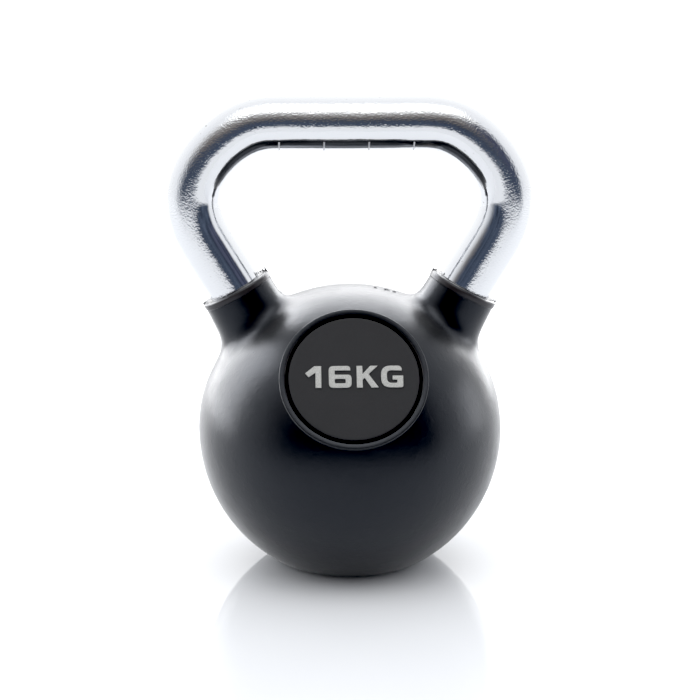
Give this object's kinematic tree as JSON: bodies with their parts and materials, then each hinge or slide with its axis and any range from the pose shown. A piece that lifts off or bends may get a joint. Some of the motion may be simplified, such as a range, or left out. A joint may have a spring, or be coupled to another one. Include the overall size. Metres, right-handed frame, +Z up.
{
  "type": "kettlebell",
  "caption": "Rubber-coated ball weight with a wide chromed bar handle, rubber collars round its legs, a round badge with raised characters, and a flat base to stand on.",
  "frame": {"origin": "on the surface it stands on, under the centre of the ball and in the middle of its flat base", "axes": "+Z up, +X to the right along the handle's grip, and the badge faces -Y"},
  "size_m": [0.2014, 0.1706, 0.2613],
  "materials": {
    "iron": "matte",
    "chrome": "polished",
    "weld": "matte",
    "rubber": "satin",
    "badge": "matte",
    "adhesive": "satin",
    "character": "satin"
  },
  "bodies": {
    "root": {"iron_core": "iron", "chrome_handle": "chrome", "left_weld_bead": "weld", "right_weld_bead": "weld", "rubber_jacket": "rubber", "badge": "badge", "badge_adhesive": "adhesive", "digit_1": "character", "digit_6": "character", "letter_k": "character", "letter_g": "character"}
  },
  "joints": []
}
